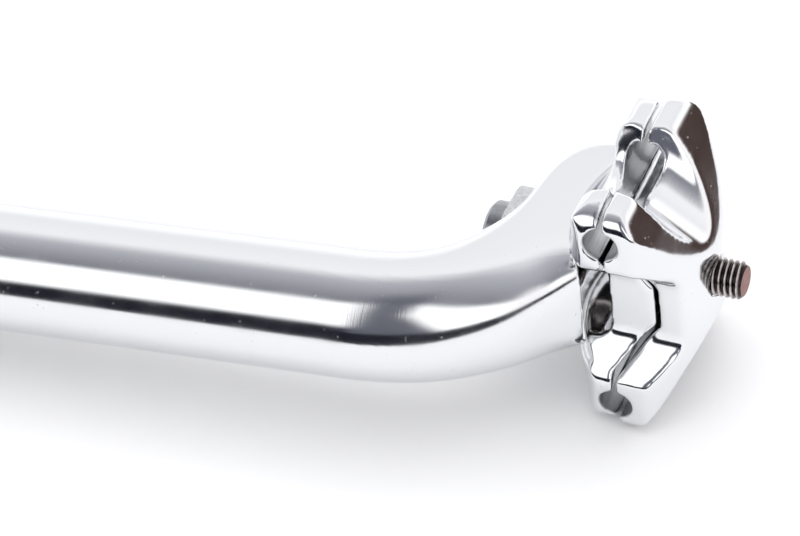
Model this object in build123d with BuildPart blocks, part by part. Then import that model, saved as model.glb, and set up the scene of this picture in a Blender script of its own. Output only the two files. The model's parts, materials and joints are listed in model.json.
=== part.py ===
import os
from math import atan, cos, degrees, pi, radians, sin, tan

from build123d import *

# A set-back bicycle seatpost with a single-bolt rail clamp, lying on its side as it comes to rest.
# Row frame: X along the post towards the clamp, Y to the rear of the bicycle, Z up.

# Post: a round tube that bends to the rear and ends in a flattened head
post_dia = 27.2
post_wall = 2.6
post_length = 300.0
end_chamfer = 0.8
bend_rise = 52.5
setback = 25.0
outer_bend_radius = 53.0
inner_bend_radius = 24.0
inner_bend_start = 6.0
round_lead = 12.0
bore_stop = 3.0
head_width = 26.4
head_reach = 20.0
head_plate = 11.0
lip_reach = 16.6
seat_round = 3.0
pocket_depth = 24.0

# Seat of the clamp on the head: an arc about the tilt axis
clamp_tilt = 6.0
seat_radius = 30.0
seat_depth = 11.5
seat_gap = 0.3
tilt_range = 6.0
travel_play = 0.6

# Saddle rails and the two clamp halves that hold them
rail_dia = 7.0
rail_gauge = 44.0
rail_wall = 7.0
relief_length = 20.0
relief_depth = 0.4
clamp_length = 41.0
parting_gap = 0.8
foot_width = 25.0
ear_depth = 6.9
ear_rise = 2.6
ear_corner = 6.5
ear_inner = 15.4
recess_depth = 8.0
recess_floor = 17.0
recess_round = 5.0
arch_width = 19.0
arch_top = 2.5
arch_round = 3.0
boss_height = 7.2
boss_top = 10.0
boss_base = 28.4
boss_gap = 0.8
cap_ear_height = 4.6
cap_shoulder_height = 9.4
cap_crown = 16.8
crown_width = 17.0
crown_length = 19.0
scoop_radius = 10.5
scoop_bite = 3.1
scoop_shift = -1.5
scoop_lean = 36.0
crown_round = 4.0
shoulder_round = 8.0
ear_round = 2.0

# Bolt and its rocker washer
bolt_dia = 8.0
bolt_length = 50.0
bolt_clearance = 0.05
bolt_head_dia = 13.0
bolt_head_height = 5.0
bolt_hex = 5.0
bolt_hex_depth = 3.0
bolt_chamfer = 0.8
slot_clearance = 0.3
washer_length = 13.6
washer_width = 19.0
washer_thickness = 5.2
washer_corner = 3.0
mouth_chamfer = 0.8

# The post lies on the rim of its lower end and on the ears of the clamp
post_radius = post_dia / 2
bore_radius = post_radius - post_wall
ear_outer = rail_gauge / 2 + rail_wall
clamp_turn = radians(clamp_tilt)
ear_contact = post_length - ear_depth / 2 - (clamp_length / 2 - ear_corner) * sin(clamp_turn)
lie_angle = atan((ear_outer - post_radius) / ear_contact)
underside = seat_depth + head_plate
head_under = -underside - seat_gap - washer_thickness
tip_height = head_under + bolt_length
far_end = (post_length + tip_height * cos(clamp_turn)) * cos(lie_angle)
rear_end = setback + clamp_length / 2 * cos(clamp_turn) + ear_depth / 2 * sin(clamp_turn)
post_plane = Plane(
    origin=(
        (post_radius * sin(lie_angle) - far_end) / 2,
        (post_radius - rear_end) / 2,
        post_radius * cos(lie_angle),
    ),
    x_dir=(cos(lie_angle), 0, sin(lie_angle)),
    z_dir=(-sin(lie_angle), 0, cos(lie_angle)),
)


def across_post(along, rear, lean):
    """Plane across the post at a point of its side view, with x to the rear and y sideways."""
    turn = radians(lean)
    normal = post_plane.x_dir * cos(turn) + post_plane.y_dir * sin(turn)
    backward = post_plane.y_dir * cos(turn) - post_plane.x_dir * sin(turn)
    return Plane(post_plane.from_local_coords(Vector(along, rear, 0)), x_dir=backward, z_dir=normal)


# Clamp frame: x to the rear along the rails, y sideways, z along the bolt, from the middle of the rails
clamp_plane = across_post(post_length, setback, -clamp_tilt)
front_plane = Plane(clamp_plane.origin, x_dir=clamp_plane.y_dir, z_dir=clamp_plane.x_dir)
side_plane = Plane(clamp_plane.origin, x_dir=clamp_plane.x_dir, z_dir=-clamp_plane.y_dir)
bolt_axis = Axis(clamp_plane.origin, clamp_plane.z_dir)
pivot_height = seat_radius - seat_depth
seat_flat = head_width / 2 - 0.75 * seat_round
seat_plane = Plane(
    clamp_plane.from_local_coords(Vector(0, 0, pivot_height)),
    x_dir=clamp_plane.y_dir,
    z_dir=-clamp_plane.x_dir,
)
underside_radius = seat_radius + head_plate
tilt_travel = underside_radius * tan(radians(tilt_range)) + travel_play
head_travel = (pivot_height - head_under + bolt_head_height) * tan(radians(tilt_range)) + travel_play

# Bend: the outer and inner sides are arcs, and the section goes from round to a flattened head
bend_start = post_length - bend_rise
outer_centre = outer_bend_radius - post_radius
inner_centre = post_radius + inner_bend_radius
section_points = 32


def on_outer_arc(angle):
    turn = radians(angle)
    return Vector(outer_bend_radius * sin(turn), outer_centre - outer_bend_radius * cos(turn))


def on_inner_arc(angle):
    turn = radians(angle)
    return Vector(
        inner_bend_start + inner_bend_radius * sin(turn),
        inner_centre - inner_bend_radius * cos(turn),
    )


def of_head(rear, height):
    """A point of the head given in the clamp's frame, as a point of the side view of the bend."""
    return Vector(
        bend_rise + height * cos(clamp_turn) + rear * sin(clamp_turn),
        setback + rear * cos(clamp_turn) - height * sin(clamp_turn),
    )


def bend_section(front, back, width, front_square, back_square):
    """Section of the bend; each half lies between an ellipse (2) and a rectangle."""
    middle = (front + back) / 2
    lean = degrees(atan((front.X - back.X) / (back.Y - front.Y)))
    points = []
    for step in range(section_points):
        turn = 2 * pi * step / section_points
        # Points lie closer together round the corners
        turn += sin(4 * turn) / 8
        square = front_square if cos(turn) < 0 else back_square
        reach = (abs(cos(turn)) ** square + abs(sin(turn)) ** square) ** (-1 / square)
        points.append(((back - front).length / 2 * reach * cos(turn), width / 2 * reach * sin(turn)))
    with BuildSketch(across_post(bend_start + middle.X, middle.Y, lean)) as section:
        with BuildLine():
            Spline(points, periodic=True)
        make_face()
    return section.sketch


def round_section(lead):
    with BuildSketch(across_post(bend_start - lead, 0, 0)) as section:
        Circle(post_radius)
    return section.sketch


# Three round sections hold the bend in line with the tube
# Its front stays round and its back grows square
bend_sections = [
    round_section(round_lead),
    round_section(round_lead / 2),
    round_section(0),
    bend_section(on_outer_arc(20), on_inner_arc(20), post_dia, 2.05, 2.4),
    bend_section(on_outer_arc(32), on_inner_arc(42), (post_dia + head_width) / 2, 2.1, 3.4),
    bend_section(on_outer_arc(41), on_inner_arc(68), head_width, 2.2, 5.5),
    bend_section(on_outer_arc(48), of_head(head_reach - 9, 0.2 - underside), head_width, 2.4, 9),
    bend_section(
        of_head(-lip_reach - 2, 3.8 - seat_depth),
        of_head(head_reach - 0.8, 6 - underside),
        head_width,
        2.8,
        12,
    ),
    bend_section(
        of_head(3.4 - lip_reach, 8.4 - seat_depth),
        of_head(head_reach, 8.5 - seat_depth),
        head_width,
        3.2,
        12,
    ),
]

with BuildPart() as post:
    loft(bend_sections)
    # Concave seat of the clamp about the tilt axis, with rounded side edges
    with BuildSketch(seat_plane):
        with BuildLine():
            Polyline(
                (seat_flat + seat_round, seat_radius + seat_round),
                (head_width, seat_radius + seat_round),
                (head_width, 0),
                (0, 0),
                (0, seat_radius),
                (seat_flat, seat_radius),
            )
            RadiusArc(
                (seat_flat, seat_radius),
                (seat_flat + seat_round, seat_radius + seat_round),
                -seat_round,
            )
        make_face()
        mirror(about=Plane.YZ)
    revolve(axis=Axis(seat_plane.origin, seat_plane.x_dir), mode=Mode.SUBTRACT)
    # Underside pocket that the rocker washer slides along
    with BuildSketch(side_plane):
        with Locations((0, pivot_height)):
            Circle(underside_radius + pocket_depth)
            Circle(underside_radius, mode=Mode.SUBTRACT)
        with Locations((-washer_length / 2 - head_travel, -2 * seat_radius)):
            Rectangle(
                4 * seat_radius,
                4 * seat_radius,
                align=(Align.MIN, Align.CENTER),
                mode=Mode.INTERSECT,
            )
    extrude(amount=washer_width / 2 + travel_play, both=True, mode=Mode.SUBTRACT)
    # Slot of the bolt
    with BuildSketch(clamp_plane.offset(-seat_depth - seat_radius)):
        SlotCenterToCenter(2 * tilt_travel, bolt_dia + 2 * slot_clearance)
    extrude(amount=2 * seat_radius, mode=Mode.SUBTRACT)
    # Blind end of the bore
    with BuildSketch(across_post(bend_start - round_lead, 0, 0)):
        Circle(bore_radius)
    extrude(amount=round_lead - bore_stop, mode=Mode.SUBTRACT)
    # Tube with chamfered lower end
    with BuildSketch(post_plane):
        with BuildLine():
            Polyline(
                (0, bore_radius + end_chamfer),
                (0, post_radius - end_chamfer),
                (end_chamfer, post_radius),
                (bend_start - round_lead, post_radius),
                (bend_start - round_lead, bore_radius),
                (end_chamfer, bore_radius),
                close=True,
            )
        make_face()
    revolve(axis=Axis(post_plane.origin, post_plane.x_dir))


def ear_plan():
    """Outline of a clamp half along the bolt: four ears round a recess at each end."""
    with BuildSketch() as plan:
        RectangleRounded(clamp_length, 2 * ear_outer, ear_corner)
        with BuildLine():
            Polyline(
                (clamp_length / 2 - recess_depth, -recess_floor / 2),
                (clamp_length / 2 - recess_depth, recess_floor / 2),
                (clamp_length / 2, ear_inner),
                (clamp_length, ear_inner),
                (clamp_length, -ear_inner),
                (clamp_length / 2, -ear_inner),
                close=True,
            )
        make_face(mode=Mode.SUBTRACT)
        split(bisect_by=Plane.YZ)
        mirror(about=Plane.YZ)
        corners = plan.vertices().filter_by(lambda corner: abs(corner.X) > 1)
        fillet(corners.filter_by(lambda corner: abs(corner.Y) < ear_inner - 1), recess_round)
        fillet(plan.vertices().filter_by(lambda corner: abs(abs(corner.Y) - ear_inner) < 0.1), ear_round)
    return plan.sketch


with BuildPart() as lower_clamp:
    # Front outline, carried along the rails
    with BuildSketch(front_plane):
        with BuildLine():
            Polyline(
                (0, boss_height),
                (boss_top / 2, boss_height),
                (boss_base / 2, -parting_gap / 2),
                (ear_outer, -parting_gap / 2),
                (ear_outer, -ear_depth / 2),
            )
            ThreePointArc(
                (ear_outer, -ear_depth / 2),
                (ear_outer - 1.6, -ear_depth + 1.2),
                (rail_gauge / 2, -ear_depth),
            )
            ThreePointArc(
                (rail_gauge / 2, -ear_depth),
                (foot_width / 2 + 3.4, -ear_depth - 1.4),
                (foot_width / 2, -seat_depth),
            )
            Line((foot_width / 2, -seat_depth), (foot_width / 2, -seat_depth - 1))
            Line((foot_width / 2, -seat_depth - 1), (0, -seat_depth - 1))
            Line((0, -seat_depth - 1), (0, boss_height))
        make_face()
        mirror(about=Plane.YZ)
    extrude(amount=clamp_length / 2, both=True)
    # Ears and end recesses
    with BuildSketch(clamp_plane.offset(-2 * seat_depth)):
        add(ear_plan())
    extrude(amount=4 * seat_depth, mode=Mode.INTERSECT)
    # The underside rises towards the ends
    with BuildSketch(side_plane):
        with BuildLine():
            ThreePointArc(
                (-clamp_length / 2, ear_rise - ear_depth),
                (0, -seat_depth - 1.5),
                (clamp_length / 2, ear_rise - ear_depth),
            )
            Polyline(
                (clamp_length / 2, ear_rise - ear_depth),
                (clamp_length / 2, 2 * boss_height),
                (-clamp_length / 2, 2 * boss_height),
                (-clamp_length / 2, ear_rise - ear_depth),
            )
        make_face()
    extrude(amount=2 * ear_outer, both=True, mode=Mode.INTERSECT)
    # Curved foot that rocks in the seat
    with BuildSketch(side_plane):
        Rectangle(3 * seat_radius, 4 * seat_radius, align=(Align.CENTER, Align.MAX))
        with Locations((0, pivot_height)):
            Circle(seat_radius - seat_gap, mode=Mode.SUBTRACT)
    extrude(amount=head_width / 2 + travel_play, both=True, mode=Mode.SUBTRACT)
    # Arch under the boss, open at both ends
    with BuildSketch(front_plane) as arch:
        with Locations((0, -arch_top)):
            Rectangle(arch_width, 2 * seat_depth, align=(Align.CENTER, Align.MAX))
        fillet(arch.vertices().group_by(Axis.Y)[-1], arch_round)
    extrude(amount=clamp_length, both=True, mode=Mode.SUBTRACT)
    # Rail grooves, relieved in the middle so that they hold at the ears
    with BuildSketch(front_plane):
        with Locations((rail_gauge / 2, 0), (-rail_gauge / 2, 0)):
            Circle(rail_dia / 2)
    extrude(amount=clamp_length, both=True, mode=Mode.SUBTRACT)
    with BuildSketch(front_plane):
        with Locations((rail_gauge / 2, 0), (-rail_gauge / 2, 0)):
            Circle(rail_dia / 2 + relief_depth)
    extrude(amount=relief_length / 2, both=True, mode=Mode.SUBTRACT)
    # Bolt hole
    with BuildSketch(clamp_plane.offset(-2 * seat_depth)):
        Circle(bolt_dia / 2 + bolt_clearance)
    extrude(amount=4 * seat_depth, mode=Mode.SUBTRACT)
    # Scoops at the sides, between the ears
    for side in (1, -1):
        lean = radians(scoop_lean)
        floor_at = clamp_plane.from_local_coords(
            Vector(scoop_shift, side * (rail_gauge / 2 + rail_dia / 2 - scoop_bite), 0)
        )
        outward = clamp_plane.y_dir * side
        axis_dir = outward * -sin(lean) - clamp_plane.z_dir * cos(lean)
        off_dir = outward * cos(lean) - clamp_plane.z_dir * sin(lean)
        scoop_start = floor_at + off_dir * scoop_radius - axis_dir * seat_radius
        with BuildSketch(Plane(scoop_start, z_dir=axis_dir)):
            Circle(scoop_radius)
        extrude(amount=2 * seat_radius, mode=Mode.SUBTRACT)

with BuildPart() as upper_clamp:
    with BuildSketch(front_plane) as cap_front:
        with BuildLine():
            Polyline(
                (0, boss_height + boss_gap),
                (boss_top / 2, boss_height + boss_gap),
                (boss_base / 2 + boss_gap, parting_gap / 2),
                (ear_outer, parting_gap / 2),
                (ear_outer, cap_ear_height),
                (rail_gauge / 2, cap_shoulder_height),
                (crown_width / 2, cap_crown),
                (0, cap_crown),
                close=True,
            )
        make_face()
        mirror(about=Plane.YZ)
        outer = cap_front.vertices().group_by(Axis.Y)
        fillet(outer[-1].filter_by(lambda corner: abs(corner.X) > 1), crown_round)
        fillet(outer[-2], shoulder_round)
        ear_corners = cap_front.vertices().filter_by(lambda corner: abs(corner.X) > ear_outer - 0.1)
        fillet(ear_corners.filter_by(lambda corner: corner.Y > 1), ear_round)
    extrude(amount=clamp_length / 2, both=True)
    # Sloping ends
    with BuildSketch(side_plane) as cap_side:
        with BuildLine():
            Polyline(
                (-clamp_length / 2, 0),
                (-clamp_length / 2, cap_ear_height),
                (-crown_length / 2, cap_crown),
                (crown_length / 2, cap_crown),
                (clamp_length / 2, cap_ear_height),
                (clamp_length / 2, 0),
                close=True,
            )
        make_face()
        fillet(cap_side.vertices().group_by(Axis.Y)[-1], crown_round)
    extrude(amount=2 * ear_outer, both=True, mode=Mode.INTERSECT)
    # Recesses between the ears, leaning with the ends
    for end in (1, -1):
        with BuildSketch(clamp_plane) as recess:
            with BuildLine():
                Polyline(
                    (end * (clamp_length / 2 - recess_depth), -recess_floor / 2),
                    (end * (clamp_length / 2 - recess_depth), recess_floor / 2),
                    (end * clamp_length / 2, ear_inner),
                    (end * clamp_length, ear_inner),
                    (end * clamp_length, -ear_inner),
                    (end * clamp_length / 2, -ear_inner),
                    close=True,
                )
            make_face()
            floor_corners = recess.vertices().filter_by(lambda corner: abs(corner.Y) < ear_inner - 1)
            fillet(floor_corners, recess_round)
        lean_in = (clamp_length / 2 - recess_depth - crown_length / 2) * 0.9 / cap_crown
        extrude(
            amount=1.2 * cap_crown,
            dir=clamp_plane.z_dir - clamp_plane.x_dir * (end * lean_in),
            mode=Mode.SUBTRACT,
        )
    # Rounded outer corners of the ears
    with BuildSketch(clamp_plane):
        RectangleRounded(clamp_length, 2 * ear_outer, ear_corner)
    extrude(amount=2 * cap_crown, mode=Mode.INTERSECT)
    with BuildSketch(front_plane):
        with Locations((rail_gauge / 2, 0), (-rail_gauge / 2, 0)):
            Circle(rail_dia / 2)
    extrude(amount=clamp_length, both=True, mode=Mode.SUBTRACT)
    with BuildSketch(front_plane):
        with Locations((rail_gauge / 2, 0), (-rail_gauge / 2, 0)):
            Circle(rail_dia / 2 + relief_depth)
    extrude(amount=relief_length / 2, both=True, mode=Mode.SUBTRACT)
    # Bolt hole with a countersunk mouth
    with BuildSketch(clamp_plane):
        Circle(bolt_dia / 2 + bolt_clearance)
    extrude(amount=2 * cap_crown, mode=Mode.SUBTRACT)
    mouths = upper_clamp.edges().filter_by(GeomType.CIRCLE).sort_by(bolt_axis)
    chamfer(mouths[-1], mouth_chamfer)
    for side in (1, -1):
        lean = radians(scoop_lean)
        floor_at = clamp_plane.from_local_coords(
            Vector(scoop_shift, side * (rail_gauge / 2 + rail_dia / 2 - scoop_bite), 0)
        )
        outward = clamp_plane.y_dir * side
        axis_dir = outward * -sin(lean) + clamp_plane.z_dir * cos(lean)
        off_dir = outward * cos(lean) + clamp_plane.z_dir * sin(lean)
        scoop_start = floor_at + off_dir * scoop_radius - axis_dir * seat_radius
        with BuildSketch(Plane(scoop_start, z_dir=axis_dir)):
            Circle(scoop_radius)
        extrude(amount=2 * seat_radius, mode=Mode.SUBTRACT)

with BuildPart() as rocker_washer:
    with BuildSketch(clamp_plane.offset(head_under)):
        RectangleRounded(washer_length, washer_width, washer_corner)
    extrude(amount=2 * washer_thickness)
    with BuildSketch(side_plane):
        with Locations((0, pivot_height)):
            Circle(underside_radius + seat_gap)
    extrude(amount=washer_width, both=True, mode=Mode.SUBTRACT)
    with BuildSketch(clamp_plane.offset(head_under)):
        Circle(bolt_dia / 2 + bolt_clearance)
    extrude(amount=2 * washer_thickness, mode=Mode.SUBTRACT)

with BuildPart() as clamp_bolt:
    with BuildSketch(clamp_plane.offset(head_under)):
        Circle(bolt_head_dia / 2)
    extrude(amount=-bolt_head_height)
    with BuildSketch(clamp_plane.offset(head_under)):
        Circle(bolt_dia / 2)
    extrude(amount=bolt_length)
    bolt_ends = clamp_bolt.edges().filter_by(GeomType.CIRCLE).sort_by(bolt_axis)
    chamfer((bolt_ends[0], bolt_ends[-1]), bolt_chamfer)
    with BuildSketch(clamp_plane.offset(head_under - bolt_head_height)):
        RegularPolygon(bolt_hex / 2, 6, major_radius=False)
    extrude(amount=bolt_hex_depth, mode=Mode.SUBTRACT)

post.part.label = "post"
lower_clamp.part.label = "lower_clamp"
upper_clamp.part.label = "upper_clamp"
rocker_washer.part.label = "rocker_washer"
clamp_bolt.part.label = "clamp_bolt"

os.makedirs("parts", exist_ok=True)
export_step(post.part, "parts/post.step")
export_step(lower_clamp.part, "parts/lower_clamp.step")
export_step(upper_clamp.part, "parts/upper_clamp.step")
export_step(rocker_washer.part, "parts/rocker_washer.step")
export_step(clamp_bolt.part, "parts/clamp_bolt.step")
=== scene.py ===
import json
import math

import bpy
import numpy as np
from mathutils import Matrix, Vector


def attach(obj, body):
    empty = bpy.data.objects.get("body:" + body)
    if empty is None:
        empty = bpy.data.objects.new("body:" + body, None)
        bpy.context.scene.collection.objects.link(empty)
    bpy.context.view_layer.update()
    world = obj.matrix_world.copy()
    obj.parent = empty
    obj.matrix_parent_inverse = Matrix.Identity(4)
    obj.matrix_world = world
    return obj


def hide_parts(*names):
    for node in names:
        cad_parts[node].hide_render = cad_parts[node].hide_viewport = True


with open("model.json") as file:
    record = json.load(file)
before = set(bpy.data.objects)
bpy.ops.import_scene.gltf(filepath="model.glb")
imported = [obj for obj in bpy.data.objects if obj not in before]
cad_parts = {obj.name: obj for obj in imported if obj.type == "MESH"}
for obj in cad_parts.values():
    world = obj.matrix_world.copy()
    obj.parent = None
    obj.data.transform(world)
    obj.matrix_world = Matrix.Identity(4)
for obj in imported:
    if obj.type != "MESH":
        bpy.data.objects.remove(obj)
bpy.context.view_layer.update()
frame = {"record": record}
print("frame loaded")

mm = 0.001  # sizes below are in millimetres, Blender works in metres

# The clamp and the tube give the directions that everything is drawn in
mounts = {mount["name"]: mount for mount in frame["record"]["mounts"]}
leftRail = Vector(mounts["left_rail"]["pos_m"])
rightRail = Vector(mounts["right_rail"]["pos_m"])
clampMiddle = (leftRail + rightRail) / 2
railAxis = Vector(mounts["left_rail"]["axis"]).normalized()
sideAxis = (leftRail - rightRail).normalized()
boltAxis = railAxis.cross(sideAxis)
tubeAxis = -Vector(mounts["seat_tube"]["axis"]).normalized()
rearAxis = sideAxis.cross(tubeAxis)


def drawnIn(origin, x, y, z):
    place = Matrix((x, y, z)).transposed().to_4x4()
    place.translation = origin
    return place


alongBolt = drawnIn(clampMiddle, railAxis, sideAxis, boltAxis)  # looking down the bolt
alongRails = drawnIn(clampMiddle, sideAxis, boltAxis, railAxis)  # looking along the rails
fromSide = drawnIn(clampMiddle, railAxis, boltAxis, -sideAxis)  # looking across the bicycle


# Drawing and cutting

def activate(obj):
    bpy.ops.object.select_all(action="DESELECT")
    obj.select_set(True)
    bpy.context.view_layer.objects.active = obj


def settle(obj, place):
    # the place goes into the mesh, so the object ends at the origin
    activate(obj)
    obj.data.transform(place)
    return obj


def applyAll(obj):
    activate(obj)
    for modifier in list(obj.modifiers):
        bpy.ops.object.modifier_apply(modifier=modifier.name)


def drawLine(name, points):
    # a plane merged to one point, which is then extruded from point to point
    bpy.ops.object.select_all(action="DESELECT")
    bpy.ops.mesh.primitive_plane_add(size=mm)
    obj = bpy.context.object
    obj.name = name
    bpy.ops.object.mode_set(mode="EDIT")
    bpy.ops.mesh.select_all(action="SELECT")
    bpy.ops.mesh.merge(type="CENTER")
    bpy.ops.transform.translate(value=(points[0][0] * mm, points[0][1] * mm, 0))
    for here, there in zip(points, points[1:]):
        step = ((there[0] - here[0]) * mm, (there[1] - here[1]) * mm, 0)
        bpy.ops.mesh.extrude_vertices_move(TRANSFORM_OT_translate={"value": step})
    return obj


def closeLine(obj):
    # joins the last drawn point to the first
    bpy.ops.object.mode_set(mode="OBJECT")
    ends = (0, len(obj.data.vertices) - 1)
    for vertex in obj.data.vertices:
        vertex.select = vertex.index in ends
    bpy.ops.object.mode_set(mode="EDIT")
    bpy.ops.mesh.edge_face_add()
    bpy.ops.mesh.select_all(action="SELECT")


def prism(name, outline, low, high, place):
    obj = drawLine(name, outline)
    closeLine(obj)
    bpy.ops.mesh.edge_face_add()
    bpy.ops.transform.translate(value=(0, 0, low * mm))
    bpy.ops.mesh.extrude_region_move(TRANSFORM_OT_translate={"value": (0, 0, (high - low) * mm)})
    bpy.ops.mesh.select_all(action="SELECT")
    bpy.ops.mesh.normals_make_consistent(inside=False)
    bpy.ops.object.mode_set(mode="OBJECT")
    return settle(obj, place)


def lathe(name, profile, steps, place, ring=False):
    # profile points are (radius, along the axis); the axis is y of the place
    obj = drawLine(name, profile)
    if ring:
        closeLine(obj)
    bpy.ops.object.mode_set(mode="OBJECT")
    turn = obj.modifiers.new("turned", "SCREW")
    turn.axis = "Y"
    turn.steps = turn.render_steps = steps
    turn.use_merge_vertices = True
    turn.merge_threshold = 0.001 * mm
    applyAll(obj)
    bpy.ops.object.mode_set(mode="EDIT")
    bpy.ops.mesh.select_all(action="SELECT")
    bpy.ops.mesh.remove_doubles(threshold=0.001 * mm)
    bpy.ops.mesh.normals_make_consistent(inside=False)
    bpy.ops.object.mode_set(mode="OBJECT")
    return settle(obj, place)


def cut(body, tool, operation="DIFFERENCE"):
    boolean = body.modifiers.new("cut", "BOOLEAN")
    boolean.operation = operation
    boolean.solver = "EXACT"
    boolean.object = tool
    applyAll(body)
    bpy.data.objects.remove(tool)


def roundEdges(body, grain, passes):
    # an even skin, smoothed until its edges are as round as a tumbled forging's
    skin = body.modifiers.new("skin", "REMESH")
    skin.mode = "VOXEL"
    skin.voxel_size = grain * mm
    soft = body.modifiers.new("soft", "SMOOTH")
    soft.factor = 0.5
    soft.iterations = passes
    applyAll(body)
    bpy.ops.object.shade_smooth()
    return body


def arcBetween(middle, radius, start, end, steps):
    angles = [math.radians(start + (end - start) * step / steps) for step in range(steps + 1)]
    return [(middle[0] + radius * math.cos(a), middle[1] + radius * math.sin(a)) for a in angles]


def circle(middle, radius, steps):
    return arcBetween(middle, radius, 0, 360 - 360 / steps, steps - 1)


def arcThrough(first, second, third, steps):
    a, b, c = (complex(*point) for point in (first, second, third))
    w = (c - a) / (b - a)
    middle = (b - a) * (w - abs(w) ** 2) / (2j * w.imag) + a
    span = np.angle((c - middle) / (a - middle))
    if abs(np.angle((b - middle) / (a - middle)) - span / 2) > abs(span / 2):
        span -= math.copysign(2 * math.pi, span)
    turns = [np.exp(1j * span * step / steps) for step in range(steps + 1)]
    points = [middle + (a - middle) * turn for turn in turns]
    return [(point.real, point.imag) for point in points]


def roundCorners(corners, steps=10):
    # a corner of three numbers is rounded to its third, the radius
    line = []
    for place, corner in enumerate(corners):
        here = Vector(corner[:2])
        if len(corner) == 2:
            line.append(tuple(here))
            continue
        before = (Vector(corners[place - 1][:2]) - here).normalized()
        after = (Vector(corners[(place + 1) % len(corners)][:2]) - here).normalized()
        half = before.angle(after) / 2
        middle = here + (before + after).normalized() * corner[2] / math.sin(half)
        first = here + before * corner[2] / math.tan(half) - middle
        last = here + after * corner[2] / math.tan(half) - middle
        start = math.degrees(math.atan2(first.y, first.x))
        sweep = (math.degrees(math.atan2(last.y, last.x)) - start + 180) % 360 - 180
        line += arcBetween(middle, corner[2], start, start + sweep, steps)
    return line


def bothSides(half):
    # the half outline runs from the middle line out and back to it
    return half + [(-x, y) for x, y in reversed(half) if abs(x) > 1e-6]


# Post: a round tube that bends to the rear into a flattened head
postSizes = {
    "radius": 13.6,
    "wall": 2.6,
    "length": 300.0,
    "endChamfer": 0.8,
    "endRound": 0.3,
    "bendRise": 52.5,
    "setback": 25.0,
    "outerBend": 53.0,
    "innerBend": 24.0,
    "innerStart": 6.0,
    "roundLead": 12.0,
    "boreStop": 3.0,
    "headWidth": 26.4,
    "headReach": 20.0,
    "lipReach": 16.6,
    "underside": 22.5,
    "seatRound": 3.0,
    "pocketDepth": 24.0,
    "pocketPlay": 0.6,
    "slotPlay": 0.3,
    # from the bend to the head's rim, how square each section is: 2 is round
    "frontSquare": (2.05, 2.25, 2.7, 3.4, 4.4, 5),
    "backSquare": (2.4, 3.4, 5.5, 9, 12, 12),
    "ringPoints": 160,
    "rings": 90,
    "grain": 0.4,
    "softPasses": 10,
}
seatSizes = {
    "tilt": 6.0,
    "radius": 30.0,
    "depth": 11.5,
    "gap": 0.3,
    "undersideRadius": 41.0,
    "tiltTravel": 4.91,
    "headTravel": 6.01,
}
pivotHeight = seatSizes["radius"] - seatSizes["depth"]
bendStart = postSizes["length"] - postSizes["bendRise"]
seam = bendStart - postSizes["roundLead"]
tubeLength = mounts["seat_tube"]["dims"]["length_mm"]
tubeMiddle = Vector(mounts["seat_tube"]["pos_m"])
tubeEnd = tubeMiddle - tubeAxis * (postSizes["endChamfer"] + tubeLength / 2) * mm
alongPost = drawnIn(tubeEnd, tubeAxis, rearAxis, sideAxis)
roundPost = alongPost @ Matrix.Rotation(math.radians(-90), 4, "Z")  # with y along the tube, for lathes
atPivot = drawnIn(clampMiddle + boltAxis * pivotHeight * mm, railAxis, sideAxis, boltAxis)


def onOuterBend(angle):
    turn = math.radians(angle)
    reach = postSizes["outerBend"]
    return Vector((reach * math.sin(turn), reach - postSizes["radius"] - reach * math.cos(turn)))


def onInnerBend(angle):
    turn = math.radians(angle)
    reach = postSizes["innerBend"]
    return Vector((
        postSizes["innerStart"] + reach * math.sin(turn),
        postSizes["radius"] + reach - reach * math.cos(turn),
    ))


def onHead(rear, height):
    turn = math.radians(seatSizes["tilt"])
    return Vector((
        postSizes["bendRise"] + height * math.cos(turn) + rear * math.sin(turn),
        postSizes["setback"] + rear * math.cos(turn) - height * math.sin(turn),
    ))


def bendRing(front, back, width, frontSquare, backSquare):
    # one section of the bend as a ring of points, in the post's own directions
    middle = (front + back) / 2
    across = (back - front) / 2
    turn = np.arange(postSizes["ringPoints"]) * 2 * math.pi / postSizes["ringPoints"]
    # points crowd towards the corners
    turn = turn + np.sin(4 * turn) / 8
    square = np.where(np.cos(turn) < 0, frontSquare, backSquare)
    reach = (np.abs(np.cos(turn)) ** square + np.abs(np.sin(turn)) ** square) ** (-1 / square)
    ring = np.empty((len(turn), 3))
    ring[:, 0] = bendStart + middle.x + across.x * reach * np.cos(turn)
    ring[:, 1] = middle.y + across.y * reach * np.cos(turn)
    ring[:, 2] = width / 2 * reach * np.sin(turn)
    return ring


def ringsThrough(keyRings, count):
    # natural spline from ring to ring, point by point
    keys = np.array(keyRings)
    centres = keys.mean(axis=1)
    station = np.concatenate(([0], np.cumsum(np.linalg.norm(np.diff(centres, axis=0), axis=1))))
    gap = np.diff(station)
    system = np.eye(len(station))
    right = np.zeros_like(keys)
    for k in range(1, len(station) - 1):
        system[k, k - 1:k + 2] = gap[k - 1], 2 * (gap[k - 1] + gap[k]), gap[k]
        right[k] = 6 * ((keys[k + 1] - keys[k]) / gap[k] - (keys[k] - keys[k - 1]) / gap[k - 1])
    curve = np.linalg.solve(system, right.reshape(len(station), -1)).reshape(keys.shape)
    rings = []
    for at in np.linspace(0, station[-1], count):
        k = min(np.searchsorted(station, at, side="right") - 1, len(gap) - 1)
        a, b = (station[k + 1] - at) / gap[k], (at - station[k]) / gap[k]
        bend = ((a ** 3 - a) * curve[k] + (b ** 3 - b) * curve[k + 1]) * gap[k] ** 2 / 6
        rings.append(a * keys[k] + b * keys[k + 1] + bend)
    return np.array(rings)


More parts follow.
